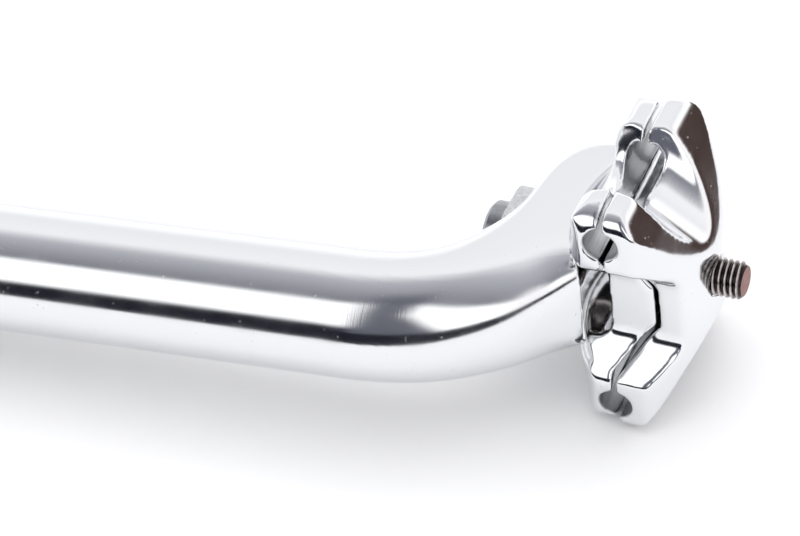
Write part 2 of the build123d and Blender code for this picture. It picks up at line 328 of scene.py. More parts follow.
def headSections():
    # front point, back point and width of each section, from the bend to the rim of the head
    size, depth, under = postSizes, seatSizes["depth"], postSizes["underside"]
    tubeWide, headWide = 2 * size["radius"], size["headWidth"]
    lip, heel = -size["lipReach"], size["headReach"]
    return [
        (onOuterBend(20), onInnerBend(20), tubeWide),
        (onOuterBend(32), onInnerBend(42), (tubeWide + headWide) / 2),
        (onOuterBend(41), onInnerBend(68), headWide),
        (onOuterBend(48), onHead(heel - 9, 0.2 - under), headWide),
        (onHead(lip - 2, 3.8 - depth), onHead(heel - 0.8, 6 - under), headWide),
        (onHead(lip + 3.4, 8.4 - depth), onHead(heel, 8.5 - depth), headWide),
    ]


def rollHead():
    size = postSizes
    lead = size["roundLead"]
    front, back = Vector((0, -size["radius"])), Vector((0, size["radius"]))
    keyRings = []
    for before in (lead + 6, lead, lead / 2, 0):
        shift = Vector((before, 0))
        keyRings.append(bendRing(front - shift, back - shift, 2 * size["radius"], 2, 2))
    for section, *square in zip(headSections(), size["frontSquare"], size["backSquare"]):
        keyRings.append(bendRing(*section, *square))
    rings = ringsThrough(keyRings, size["rings"])
    # a flat grid rolled up ring by ring
    bpy.ops.object.select_all(action="DESELECT")
    bpy.ops.mesh.primitive_grid_add(x_subdivisions=size["ringPoints"], y_subdivisions=size["rings"] - 1)
    head = bpy.context.object
    head.name = "seatpost"
    rolled = np.concatenate((rings, rings[:, :1]), axis=1) * mm
    head.data.vertices.foreach_set("co", rolled.reshape(-1))
    bpy.ops.object.mode_set(mode="EDIT")
    bpy.ops.mesh.select_all(action="SELECT")
    bpy.ops.mesh.remove_doubles(threshold=0.001 * mm)
    bpy.ops.mesh.fill_holes(sides=0)
    bpy.ops.mesh.select_all(action="SELECT")
    bpy.ops.mesh.normals_make_consistent(inside=False)
    bpy.ops.object.mode_set(mode="OBJECT")
    return settle(head, alongPost)


def cutHead(head):
    size = postSizes
    # concave seat with rounded side edges
    flat = size["headWidth"] / 2 - 0.75 * size["seatRound"]
    rim = arcBetween((seatSizes["radius"] + size["seatRound"], flat), size["seatRound"], 180, 90, 10)
    seatHalf = rim + [(rim[-1][0], size["headWidth"]), (0, size["headWidth"])]
    seatProfile = [(radius, -along) for radius, along in reversed(seatHalf)] + seatHalf
    cut(head, lathe("seatCut", seatProfile, 256, atPivot))
    # pocket that the rocker washer slides along, and the bolt's slot
    front = -rockerSizes["length"] / 2 - seatSizes["headTravel"]
    under = seatSizes["undersideRadius"]
    start = math.degrees(math.asin(front / under)) - 90
    pocket = arcBetween((0, pivotHeight), under, start, -20, 48)
    past, deepest = 90, -under - size["pocketDepth"]
    pocket += [(past, pocket[-1][1]), (past, deepest), (front, deepest + pivotHeight)]
    half = rockerSizes["width"] / 2 + size["pocketPlay"]
    cut(head, prism("pocketCut", pocket, -half, half, fromSide))
    reach, radius = seatSizes["tiltTravel"], boltSizes["radius"] + size["slotPlay"]
    slot = arcBetween((reach, 0), radius, -90, 90, 20) + arcBetween((-reach, 0), radius, 90, 270, 20)
    cut(head, prism("slotCut", slot, -seatSizes["depth"] - 30, 20, alongBolt))
    # blind end of the bore
    inner = size["radius"] - size["wall"]
    boreStart, boreEnd = seam - 8, bendStart - size["boreStop"]
    bore = [(0, boreStart), (inner, boreStart), (inner, boreEnd), (0, boreEnd)]
    cut(head, lathe("boreCut", bore, 128, roundPost))


def squareHead(head):
    # cut square where the tube takes over; the short edges in a band next to the cut are merged
    band, shortest = 0.3, 0.25
    bpy.ops.object.mode_set(mode="EDIT")
    bpy.ops.mesh.select_all(action="SELECT")
    bpy.ops.mesh.bisect(plane_co=alongPost @ Vector((seam * mm, 0, 0)), plane_no=tubeAxis, clear_inner=True)
    bpy.ops.object.mode_set(mode="OBJECT")
    toPost = alongPost.inverted()
    for vertex in head.data.vertices:
        vertex.select = (toPost @ vertex.co).x / mm < seam + band
    bpy.ops.object.mode_set(mode="EDIT")
    bpy.ops.mesh.remove_doubles(threshold=shortest * mm)
    bpy.ops.mesh.select_all(action="DESELECT")
    bpy.ops.mesh.select_mode(type="EDGE")
    bpy.ops.mesh.select_non_manifold(extend=False)
    bpy.ops.mesh.fill(use_beauty=False)
    bpy.ops.mesh.select_mode(type="VERT")
    bpy.ops.object.mode_set(mode="OBJECT")
    # the last of the round part is turned true to the tube, and blends out towards the bend
    radius, blendStart, blendLength = postSizes["radius"], seam + 2, 6
    for vertex in head.data.vertices:
        at = toPost @ vertex.co / mm
        at.x = seam if at.x < seam + 0.1 else at.x
        off = math.hypot(at.y, at.z)
        if at.x < bendStart - 4 and off > radius - 1:
            keep = min(1, max(0, (at.x - blendStart) / blendLength))
            true = off * keep + radius * (1 - keep)
            vertex.co = alongPost @ (Vector((at.x, at.y * true / off, at.z * true / off)) * mm)
    bpy.ops.object.shade_smooth_by_angle(angle=math.radians(40))


def makeHead():
    head = rollHead()
    cutHead(head)
    roundEdges(head, postSizes["grain"], postSizes["softPasses"])
    squareHead(head)
    return head


def makeTube():
    size = postSizes
    outer, inner = size["radius"], size["radius"] - size["wall"]
    chamfer, bend = size["endChamfer"], size["endRound"]
    profile = roundCorners([
        (inner + chamfer, 0, bend), (outer - chamfer, 0, bend), (outer, chamfer, bend), (outer, seam),
        (inner, seam), (inner, chamfer, bend),
    ], 4)
    tube = lathe("tube", profile, 256, roundPost, ring=True)
    bpy.ops.object.shade_smooth_by_angle(angle=math.radians(40))
    return tube


# Clamp halves that hold the saddle rails between their ears
clampSizes = {
    "length": 41.0,
    "railRadius": 3.5,
    "railSide": 22.0,
    "earOuter": 29.0,
    "earInner": 15.4,
    "earCorner": 6.5,
    "earRound": 3.4,
    "partingGap": 0.8,
    "reliefLength": 20.0,
    "reliefDepth": 0.4,
    "recessDepth": 8.0,
    "recessFloor": 17.0,
    "recessRound": 5.0,
    "scoopRadius": 10.5,
    "scoopBite": 3.1,
    "scoopShift": -1.5,
    "scoopLean": 36.0,
    "holeRadius": 4.05,
    "grain": 0.36,
    "softPasses": 36,
}


def cutRails(body):
    size = clampSizes
    for side in (1, -1):
        middle = (side * size["railSide"], 0)
        cut(body, prism("railCut", circle(middle, size["railRadius"], 60), -30, 30, alongRails))
        relief = circle(middle, size["railRadius"] + size["reliefDepth"], 60)
        reach = size["reliefLength"] / 2
        cut(body, prism("reliefCut", relief, -reach, reach, alongRails))


def cutScoops(body, upDown):
    # a leaning round cut in each side, between the ears
    size = clampSizes
    lean = math.radians(size["scoopLean"])
    for side in (1, -1):
        outward = sideAxis * side
        upward = boltAxis * upDown
        floorSide = size["railSide"] + size["railRadius"] - size["scoopBite"]
        floorAt = clampMiddle + outward * floorSide * mm + railAxis * size["scoopShift"] * mm
        leanAxis = upward * math.cos(lean) - outward * math.sin(lean)
        offAxis = outward * math.cos(lean) + upward * math.sin(lean)
        radius = size["scoopRadius"]
        place = drawnIn(floorAt + offAxis * radius * mm, offAxis, leanAxis.cross(offAxis), leanAxis)
        cut(body, prism("scoopCut", circle((0, 0), radius, 120), -32, 32, place))


def cutBoltHole(body):
    cut(body, prism("boltCut", circle((0, 0), clampSizes["holeRadius"], 60), -40, 40, alongBolt))


def recessCorners(end):
    # plan of the recess between the two ears at one end
    size = clampSizes
    wide, ear = size["recessFloor"] / 2, size["earInner"]
    floorAt = size["length"] / 2 - size["recessDepth"]
    return [
        (end * floorAt, -wide, size["recessRound"]), (end * floorAt, wide, size["recessRound"]),
        (end * size["length"] / 2, ear), (end * size["length"], ear),
        (end * size["length"], -ear), (end * size["length"] / 2, -ear),
    ]


def earOutline():
    # half of the plan, from one recess round the ears of one side
    size = clampSizes
    end, wide = size["length"] / 2, size["recessFloor"] / 2
    floorAt = end - size["recessDepth"]
    quarter = [
        (floorAt, wide, size["recessRound"]), (end, size["earInner"], size["earRound"]),
        (end, size["earOuter"], size["earCorner"]),
    ]
    corners = [(x, -y, r) for x, y, r in reversed(quarter)] + quarter
    corners += [(-x, -y, r) for x, y, r in corners]
    return roundCorners(corners)


# Lower clamp: rocks in the seat of the head, with a boss up into the cap
lowerSizes = {
    "footHalf": 12.5,
    "footPlay": 0.6,
    "earDepth": 6.9,
    "earRise": 2.6,
    # the middle of each curve of the flank: in and up from the ear's edge, out and down from the foot's
    "earBelly": (1.6, 1.2),
    "neckHollow": (3.4, 1.4),
    "archWidth": 19.0,
    "archTop": 2.5,
    "archRound": 3.0,
    "bossHeight": 7.2,
    "bossTop": 10.0,
    "bossBase": 28.4,
}


def makeLowerClamp():
    size, ears = lowerSizes, clampSizes
    under = -seatSizes["depth"] - 1
    boss, gap = size["bossHeight"], -ears["partingGap"] / 2
    outer, deep = ears["earOuter"], -size["earDepth"]
    half = [(0, boss), (size["bossTop"] / 2, boss), (size["bossBase"] / 2, gap), (outer, gap)]
    bellyIn, bellyUp = size["earBelly"]
    half += arcThrough(
        (outer, deep / 2), (outer - bellyIn, bellyUp + deep), (ears["railSide"], deep), 12)
    neckOut, neckDown = size["neckHollow"]
    half += arcThrough(
        (ears["railSide"], deep), (size["footHalf"] + neckOut, deep - neckDown),
        (size["footHalf"], under + 1), 14)[1:]
    half += [(size["footHalf"], under), (0, under)]
    reach = ears["length"] / 2
    lower = prism("lowerClampForged", bothSides(half), -reach, reach, alongRails)
    cut(lower, prism("earsKept", earOutline(), -23, 23, alongBolt), "INTERSECT")
    # the underside rises towards the ends
    rise = size["earRise"] - size["earDepth"]
    belly = arcThrough((-reach, rise), (0, under - 0.5), (reach, rise), 40)
    belly += [(reach, 2 * boss), (-reach, 2 * boss)]
    cut(lower, prism("bellyKept", belly, -60, 60, fromSide), "INTERSECT")
    # curved foot that rocks in the seat
    footRadius = seatSizes["radius"] - seatSizes["gap"]
    foot = arcBetween((0, pivotHeight), footRadius, -142, -38, 72)
    foot += [(45, 0), (45, -80), (-45, -80), (-45, 0)]
    footHalf = postSizes["headWidth"] / 2 + size["footPlay"]
    cut(lower, prism("footCut", foot, -footHalf, footHalf, fromSide))
    # arched opening through the foot
    wide, top, bend = size["archWidth"] / 2, -size["archTop"], size["archRound"]
    arch = roundCorners([(-wide, -30), (wide, -30), (wide, top, bend), (-wide, top, bend)])
    cut(lower, prism("archCut", arch, -60, 60, alongRails))
    cutRails(lower)
    cutBoltHole(lower)
    cutScoops(lower, -1)
    return roundEdges(lower, ears["grain"], ears["softPasses"])


# Upper clamp: a cap threaded for the bolt
capSizes = {
    "bossGap": 0.8,
    "earHeight": 4.6,
    "earCorner": 4.0,
    "endHeight": 7.0,
    "archHeight": 14.2,
    "shoulderHeight": 9.4,
    "crown": 16.8,
    "crownWidth": 17.0,
    "crownRound": 4.0,
    "shoulderRound": 8.0,
    "mouthChamfer": 0.8,
}


def makeUpperClamp():
    size, ears = capSizes, clampSizes
    bossTop = lowerSizes["bossHeight"] + size["bossGap"]
    gap = ears["partingGap"] / 2
    outline = [
        (lowerSizes["bossTop"] / 2, bossTop), (lowerSizes["bossBase"] / 2 + size["bossGap"], gap),
        (ears["earOuter"], gap), (ears["earOuter"], size["earHeight"], ears["earRound"]),
        (ears["railSide"], size["shoulderHeight"], size["shoulderRound"]),
        (size["crownWidth"] / 2, size["crown"], size["crownRound"]),
    ]
    outline += [(-corner[0], *corner[1:]) for corner in reversed(outline)]
    reach = ears["length"] / 2
    cap = prism("upperClampForged", roundCorners(outline), -reach, reach, alongRails)
    # ends that arch up to the crown, with a recess between the ears of each
    arch = arcThrough((reach, size["endHeight"]), (reach / 2, size["archHeight"]), (0, size["crown"]), 16)
    ends = [(-reach, 0), (reach, 0)] + arch + [(-along, up) for along, up in reversed(arch[:-1])]
    cut(cap, prism("endsKept", ends, -60, 60, fromSide), "INTERSECT")
    for end in (1, -1):
        cut(cap, prism("recessCut", roundCorners(recessCorners(end)), -4, 24, alongBolt))
    corner = size["earCorner"]
    plan = [(reach, ears["earOuter"], corner), (-reach, ears["earOuter"], corner)]
    plan += [(-x, -y, r) for x, y, r in plan]
    cut(cap, prism("cornersKept", roundCorners(plan), -5, 40, alongBolt), "INTERSECT")
    cutScoops(cap, 1)
    cutRails(cap)
    cutBoltHole(cap)
    mouth = ears["holeRadius"] + size["mouthChamfer"]
    sink = [(0, size["crown"] - mouth), (mouth + 3, size["crown"] + 3), (0, size["crown"] + 3)]
    cut(cap, lathe("mouthCut", sink, 96, alongRails))
    return roundEdges(cap, ears["grain"], ears["softPasses"])


# Rocker washer between the bolt's head and the underside of the post's head
rockerSizes = {
    "length": 13.6,
    "width": 19.0,
    "thickness": 5.2,
    "corner": 3.0,
    "grain": 0.3,
    "softPasses": 6,
}


def makeRockerWasher():
    size = rockerSizes
    wide, deep = size["length"] / 2, size["width"] / 2
    plan = [(wide, deep, size["corner"]), (-wide, deep, size["corner"])]
    plan += [(-x, -y, r) for x, y, r in plan]
    under = boltSizes["headUnder"]
    top = under + 2 * size["thickness"]
    washer = prism("rockerWasherCast", roundCorners(plan), under, top, alongBolt)
    curve = seatSizes["undersideRadius"] + seatSizes["gap"]
    above = arcBetween((0, pivotHeight), curve, -130, -50, 72) + [(60, 60), (-60, 60)]
    cut(washer, prism("curveCut", above, -40, 40, fromSide))
    cutBoltHole(washer)
    return roundEdges(washer, size["grain"], size["softPasses"])


# Clamp bolt: hexagon socket head below, thread up to the cap
boltSizes = {
    "radius": 4.0,
    "shankPlay": 0.03,
    "headRadius": 6.5,
    "headHeight": 5.0,
    "headUnder": -28.0,
    "tip": 22.0,
    "chamfer": 0.8,
    "hex": 5.0,
    "hexDepth": 3.0,
    "pitch": 1.25,
    "threadDepth": 0.62,
    "threadFrom": -6.0,
    "runOut": 0.6,
    "turnSteps": 64,
}


def windThread(shank):
    # one tooth wound up the shank turn by turn
    size, pitch = boltSizes, boltSizes["pitch"]
    root, flank = shank - size["threadDepth"], shank - 0.05
    tooth = [
        (root, 0), (root, pitch * 0.14), (flank, pitch * 0.44), (shank, pitch * 0.5),
        (shank, pitch * 0.56), (flank, pitch * 0.62), (root, pitch * 0.92), (root, pitch),
    ]
    thread = drawLine("thread", tooth)
    bpy.ops.object.mode_set(mode="OBJECT")
    wind = thread.modifiers.new("wound", "SCREW")
    wind.axis = "Y"
    wind.steps = wind.render_steps = size["turnSteps"]
    wind.screw_offset = pitch * mm
    wind.iterations = int((size["tip"] - size["threadFrom"]) / pitch) + 2
    wind.use_merge_vertices = False
    applyAll(thread)
    # the first turn starts under the run-out, and the tip is chamfered
    bevel = size["chamfer"] * 1.1
    for vertex in thread.data.vertices:
        vertex.co.y += (size["threadFrom"] - pitch) * mm
        reach = math.hypot(vertex.co.x, vertex.co.z)
        past = vertex.co.y / mm - size["tip"] + bevel
        most = max(shank - bevel, min(shank, shank - past)) * mm
        if reach > most:
            vertex.co.x *= most / reach
            vertex.co.z *= most / reach
    bpy.ops.object.mode_set(mode="EDIT")
    bpy.ops.mesh.select_all(action="SELECT")
    bpy.ops.mesh.remove_doubles(threshold=0.002 * mm)
    for height, direction in ((size["tip"], (0, 1, 0)), (size["threadFrom"] + 0.4, (0, -1, 0))):
        bpy.ops.mesh.select_all(action="SELECT")
        bpy.ops.mesh.bisect(
            plane_co=(0, height * mm, 0), plane_no=direction, clear_outer=True, use_fill=True,
            threshold=1e-7)
    bpy.ops.mesh.select_all(action="SELECT")
    bpy.ops.mesh.normals_make_consistent(inside=False)
    bpy.ops.object.mode_set(mode="OBJECT")
    return settle(thread, alongRails)


def makeBolt():
    size = boltSizes
    under, shank = size["headUnder"], size["radius"] - size["shankPlay"]
    bottom, wide, start = under - size["headHeight"], size["headRadius"], size["threadFrom"]
    core = shank - size["threadDepth"] - 0.1
    profile = roundCorners([
        (0, bottom), (wide - size["chamfer"], bottom, 0.4), (wide, bottom + size["chamfer"], 0.4),
        (wide, under, 0.3), (shank, under), (shank, start - size["runOut"], 0.3),
        (core, start, 0.3), (core, start + 2), (0, start + 2),
    ], 5)
    bolt = lathe("clampBoltThreaded", profile, 96, alongRails)
    hexagon = circle((0, 0), size["hex"] / 2 / math.cos(math.radians(30)), 6)
    cut(bolt, prism("hexCut", hexagon, bottom - 1, bottom + size["hexDepth"], alongBolt))
    windThread(shank)
    bolt.select_set(True)
    bpy.context.view_layer.objects.active = bolt
    bpy.ops.object.join()
    bpy.ops.object.shade_smooth_by_angle(angle=math.radians(28))
    return bolt


# Finishes

def linear(hexColour):
    channels = [int(hexColour[k:k + 2], 16) / 255 for k in (0, 2, 4)]
    return tuple(c / 12.92 if c <= 0.04045 else ((c + 0.055) / 1.055) ** 2.4 for c in channels) + (1,)


def addNode(material, kind, settings, links):
    node = material.node_tree.nodes.new(kind)
    for key, value in settings.items():
        if isinstance(key, int) or key in node.inputs:
            node.inputs[key].default_value = value
        else:
            setattr(node, key, value)
    for key, (source, output) in links.items():
        material.node_tree.links.new(source.outputs[output], node.inputs[key])
    return node


def newMaterial(name):
    material = bpy.data.materials.new(name)
    material.use_nodes = True
    return material, material.node_tree.nodes["Principled BSDF"]


noiseSpan = {"From Min": 0.3, "From Max": 0.7}  # where most of a noise texture's values lie


def polishedAluminium(name, waviness, wavelength, haziness, rails):
    # buffed to a mirror by hand: bright reflections, a little haze, fine wipe marks and a faint swell
    material, shader = newMaterial(name)
    shader.inputs["Metallic"].default_value = 1
    links = material.node_tree.links
    where = addNode(material, "ShaderNodeTexCoord", {}, {})
    onPart = {"Vector": (where, "Object")}
    # haze in patches of about 9 mm
    haze = addNode(material, "ShaderNodeTexNoise", {"Scale": 1 / (9 * mm), "Detail": 4}, onPart)
    hazeRough = addNode(
        material, "ShaderNodeMapRange",
        {**noiseSpan, "To Min": haziness * 0.8, "To Max": haziness * 1.25}, {"Value": (haze, "Fac")})
    # buffing marks round the post: 0.35 mm streaks, drawn coarser than real ones so that they show
    stretch = addNode(material, "ShaderNodeMapping", {"Scale": (20, 1, 1)}, onPart)
    streaks = addNode(
        material, "ShaderNodeTexNoise", {"Scale": 1 / (7 * mm), "Detail": 3, "Roughness": 0.6},
        {"Vector": (stretch, "Vector")})
    # rough specks of under 1 mm
    specks = addNode(material, "ShaderNodeTexNoise", {"Scale": 1 / (0.9 * mm), "Detail": 2}, onPart)
    speckRough = addNode(
        material, "ShaderNodeMapRange",
        {"From Min": 0.68, "From Max": 0.78, "To Min": 0, "To Max": 0.22}, {"Value": (specks, "Fac")})
    rough = addNode(
        material, "ShaderNodeMath", {"operation": "ADD"},
        {0: (hazeRough, "Result"), 1: (speckRough, "Result")})
    swell = addNode(material, "ShaderNodeTexNoise", {"Scale": 1 / (wavelength * mm), "Detail": 1}, onPart)
    swellBump = addNode(
        material, "ShaderNodeBump", {"Strength": 1, "Distance": waviness * mm}, {"Height": (swell, "Fac")})
    streakBump = addNode(
        material, "ShaderNodeBump", {"Strength": 1, "Distance": 0.007 * mm},
        {"Height": (streaks, "Fac"), "Normal": (swellBump, "Normal")})
    shine, dull = linear("E7E8EA"), linear("D2D3D5")
    if rails:
        # the grooves were only milled: dull, with cutter lines along the rail
        inGroove = None
        for rail in (leftRail, rightRail):
            offset = addNode(
                material, "ShaderNodeVectorMath", {"operation": "SUBTRACT", 1: rail}, {0: (where, "Object")})
            across = addNode(
                material, "ShaderNodeVectorMath", {"operation": "CROSS_PRODUCT", 1: railAxis},
                {0: (offset, "Vector")})
            far = addNode(
                material, "ShaderNodeVectorMath", {"operation": "LENGTH"}, {0: (across, "Vector")})
            near = addNode(
                material, "ShaderNodeMapRange",
                {"From Min": 3.95 * mm, "From Max": 3.6 * mm, "To Min": 0, "To Max": 1},
                {"Value": (far, "Value")})
            inGroove = near if inGroove is None else addNode(
                material, "ShaderNodeMath", {"operation": "MAXIMUM"},
                {0: (inGroove, "Result"), 1: (near, "Result")})
        lines = addNode(material, "ShaderNodeMapping", {"Scale": (1, 0.04, 1)}, onPart)
        cutter = addNode(
            material, "ShaderNodeTexNoise", {"Scale": 1 / (0.5 * mm), "Detail": 2},
            {"Vector": (lines, "Vector")})
        cutterRough = addNode(
            material, "ShaderNodeMapRange", {**noiseSpan, "To Min": 0.3, "To Max": 0.55},
            {"Value": (cutter, "Fac")})
        rough = addNode(
            material, "ShaderNodeMix", {},
            {0: (inGroove, "Value"), 2: (rough, "Value"), 3: (cutterRough, "Result")})
        colour = addNode(
            material, "ShaderNodeMix", {"data_type": "RGBA", 6: shine, 7: dull}, {0: (inGroove, "Value")})
        links.new(colour.outputs[2], shader.inputs["Base Color"])
        links.new(rough.outputs[0], shader.inputs["Roughness"])
    else:
        shader.inputs["Base Color"].default_value = shine
        links.new(rough.outputs["Value"], shader.inputs["Roughness"])
    links.new(streakBump.outputs["Normal"], shader.inputs["Normal"])
    return material


def oiledSteel():
    # quenched and oiled: near black in the thread's roots, with painted highlights that lighten its crests in
    # patches as glints, greyer on the head
    material, shader = newMaterial("oiledSteel")
    shader.inputs["Metallic"].default_value = 1
    links = material.node_tree.links
    where = addNode(material, "ShaderNodeTexCoord", {}, {})
    offset = addNode(
        material, "ShaderNodeVectorMath", {"operation": "SUBTRACT", 1: clampMiddle}, {0: (where, "Object")})
    across = addNode(
        material, "ShaderNodeVectorMath", {"operation": "CROSS_PRODUCT", 1: boltAxis},
        {0: (offset, "Vector")})
    far = addNode(material, "ShaderNodeVectorMath", {"operation": "LENGTH"}, {0: (across, "Vector")})
    stain = addNode(
        material, "ShaderNodeTexNoise", {"Scale": 1 / (1.6 * mm), "Detail": 5},
        {"Vector": (where, "Object")})
    # painted highlight: the thread's crests, far from the bolt's axis, are painted lighter in patches as
    # glints
    crestGlintPainted = addNode(
        material, "ShaderNodeMapRange",
        {"From Min": 3.5 * mm, "From Max": 3.95 * mm, "To Min": 0, "To Max": 1.6}, {"Value": (far, "Value")})
    patchyPaintedGlint = addNode(
        material, "ShaderNodeMath", {"operation": "MULTIPLY"}, {0: (crestGlintPainted, "Result"), 1: (stain, "Fac")})
    colour = addNode(
        material, "ShaderNodeMix", {"data_type": "RGBA", 6: linear("352F2F"), 7: linear("D8CFCC")},
        {0: (patchyPaintedGlint, "Value")})
    rough = addNode(
        material, "ShaderNodeMapRange", {**noiseSpan, "To Min": 0.16, "To Max": 0.36},
        {"Value": (stain, "Fac")})
    along = addNode(
        material, "ShaderNodeVectorMath", {"operation": "DOT_PRODUCT", 1: boltAxis}, {0: (offset, "Vector")})
    headMask = addNode(
        material, "ShaderNodeMapRange",
        {"From Min": -26 * mm, "From Max": -27.5 * mm, "To Min": 0, "To Max": 1}, {"Value": (along, "Value")})
    headGrey = addNode(
        material, "ShaderNodeMix", {"data_type": "RGBA", 6: linear("77787C"), 7: linear("B4B5B8")},
        {0: (stain, "Fac")})
    finish = addNode(
        material, "ShaderNodeMix", {"data_type": "RGBA"},
        {0: (headMask, "Result"), 6: (colour, 2), 7: (headGrey, 2)})
    links.new(finish.outputs[2], shader.inputs["Base Color"])
    links.new(rough.outputs["Result"], shader.inputs["Roughness"])
    return material


def rustedTip():
    # the bare sawn end of the bolt: matt red-brown rust, darker in blotches
    material, shader = newMaterial("rustedTip")
    shader.inputs["Metallic"].default_value = 0.25
    shader.inputs["Roughness"].default_value = 0.55
    where = addNode(material, "ShaderNodeTexCoord", {}, {})
    blotch = addNode(
        material, "ShaderNodeTexNoise", {"Scale": 1 / (1.4 * mm), "Detail": 6},
        {"Vector": (where, "Object")})
    colour = addNode(
        material, "ShaderNodeMix", {"data_type": "RGBA", 6: linear("6E4640"), 7: linear("A57C74")},
        {0: (blotch, "Fac")})
    bump = addNode(
        material, "ShaderNodeBump", {"Strength": 0.6, "Distance": 0.08 * mm}, {"Height": (blotch, "Fac")})
    links = material.node_tree.links
    links.new(colour.outputs[2], shader.inputs["Base Color"])
    links.new(bump.outputs["Normal"], shader.inputs["Normal"])
    return material


def castZinc():
    # sand-rough die casting, barely tumbled: pale grey with bright high spots
    material, shader = newMaterial("castZinc")
    shader.inputs["Metallic"].default_value = 1
    where = addNode(material, "ShaderNodeTexCoord", {}, {})
    pits = addNode(
        material, "ShaderNodeTexNoise", {"Scale": 1 / (1.2 * mm), "Detail": 6, "Roughness": 0.65},
        {"Vector": (where, "Object")})
    bump = addNode(
        material, "ShaderNodeBump", {"Strength": 1, "Distance": 0.35 * mm}, {"Height": (pits, "Fac")})
    rough = addNode(
        material, "ShaderNodeMapRange", {**noiseSpan, "To Min": 0.42, "To Max": 0.22},
        {"Value": (pits, "Fac")})
    colour = addNode(
        material, "ShaderNodeMix", {"data_type": "RGBA", 6: linear("B2B3B5"), 7: linear("E8E9EA")},
        {0: (pits, "Fac")})
    links = material.node_tree.links
    links.new(colour.outputs[2], shader.inputs["Base Color"])
    links.new(rough.outputs["Result"], shader.inputs["Roughness"])
    links.new(bump.outputs["Normal"], shader.inputs["Normal"])
    return material


# Pieces

postPiece = makeHead()
print("head of the post made")
tubePiece = makeTube()
activate(postPiece)
tubePiece.select_set(True)
bpy.ops.object.join()
print("tube joined to the head")
lowerPiece = makeLowerClamp()
print("lower clamp made")
upperPiece = makeUpperClamp()
print("upper clamp made")
washerPiece = makeRockerWasher()
boltPiece = makeBolt()
print("washer and bolt made")

postPiece.data.materials.append(polishedAluminium(
    "buffedAluminiumTube", waviness=0.012, wavelength=26, haziness=0.14, rails=False))
clampFinish = polishedAluminium(
    "buffedAluminiumForging", waviness=0.03, wavelength=7, haziness=0.11, rails=True)
for piece in (lowerPiece, upperPiece):
    piece.data.materials.append(clampFinish)
washerPiece.data.materials.append(castZinc())
boltPiece.data.materials.append(oiledSteel())
boltPiece.data.materials.append(rustedTip())
for face in boltPiece.data.polygons:
    if (face.center - clampMiddle).dot(boltAxis) > (boltSizes["tip"] - 0.05) * mm:
        face.material_index = 1

for piece, body, node, slot in (
    (postPiece, "post", "post", "post_aluminium"),
    (lowerPiece, "cradle", "lower_clamp", "clamp_aluminium"),
    (upperPiece, "cap", "upper_clamp", "clamp_aluminium"),
    (washerPiece, "cradle", "rocker_washer", "washer_zinc"),
    (boltPiece, "bolt", "clamp_bolt", "bolt_steel"),
):
    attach(piece, body)
    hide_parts(node)
    print(piece.name, len(piece.data.polygons), "faces")


# Studio: white paper floor, strips of soft light along the tube, dark flags in front and at the right rear

studio = {
    "floorSize": 30.0,
    "floorColour": "F4F4F4",
    "strength": 1.5,
    "panelHeight": 1.4,
    "panelSize": 1.6,
    "panelPower": 13,
    # colour and corners of each flag
    "flags": {
        "frontFlag": (
            "1B1D26", ((-0.7, -0.33, 0), (0.5, -0.11, 0), (0.5, -0.11, 0.024), (-0.7, -0.33, 0.12))),
        "rearFlag": (
            "4A3C38", ((0.57, -0.02, 0), (0.29, 0.4, 0), (0.29, 0.4, 0.09), (0.57, -0.02, 0.09))),
    },
    # from the front horizon over the top to the back horizon, in degrees
    "strips": (
        (0, "1A1C24"), (15, "1A1C24"), (22, "FFFFFF"), (56, "FFFFFF"), (63, "717279"), (100, "A2A3A8"),
        (116, "DEDEE0"), (150, "D6D6D8"), (180, "B0B1B4"),
    ),
    "lowerOnRight": 40,
    # the gap's right edge leans with the height round the tube, up to where the gap ends
    "gapColour": "565861",
    "gapSlope": 0.573,
    "gapStart": -0.42,
    "gapLimit": -0.02,
    "gapSoftness": 0.07,
    "gapTop": (1.4, 1.15),
    "farRightColour": "E6E4E5",
    "rearCornerColour": "40322E",
    # axis of the direction, and where the fade along it begins and ends
    "fades": {
        "gapLeft": ("X", -0.28, -0.2),
        "farRight": ("X", 0.6, 0.8),
        "lowDown": ("Z", 0.3, 0.1),
        "toRight": ("X", 0.2, 0.45),
        "toRear": ("Y", 0.1, 0.4),
    },
}
bpy.ops.object.select_all(action="DESELECT")
bpy.ops.mesh.primitive_plane_add(size=studio["floorSize"])
floor = bpy.context.object
floor.name = "floor"
paper, paperShader = newMaterial("whitePaper")
paperShader.inputs["Base Color"].default_value = linear(studio["floorColour"])
paperShader.inputs["Roughness"].default_value = 0.9
paperShader.inputs["Specular IOR Level"].default_value = 0.1
floor.data.materials.append(paper)

# dark flags that only the metal sees: one in front, far and tall on the left, near and low on the right,
# and one at the right rear
for name, (colour, corners) in studio["flags"].items():
    flag = drawLine(name, [(0, 0), (1, 0), (1, 1), (0, 1)])
    closeLine(flag)
    bpy.ops.mesh.edge_face_add()
    bpy.ops.object.mode_set(mode="OBJECT")
    for vertex, corner in zip(flag.data.vertices, corners):
        vertex.co = corner
    cloth, clothShader = newMaterial(name + "Cloth")
    clothShader.inputs["Base Color"].default_value = linear(colour)
    clothShader.inputs["Roughness"].default_value = 1
    clothShader.inputs["Specular IOR Level"].default_value = 0
    flag.data.materials.append(cloth)
    flag.visible_camera = flag.visible_diffuse = flag.visible_shadow = False

# a wide soft panel overhead whitens the floor
bpy.ops.object.light_add(type="AREA", location=(0, 0, studio["panelHeight"]))
panel = bpy.context.object
panel.data.size = studio["panelSize"]
panel.data.energy = studio["panelPower"]
panel.visible_glossy = False

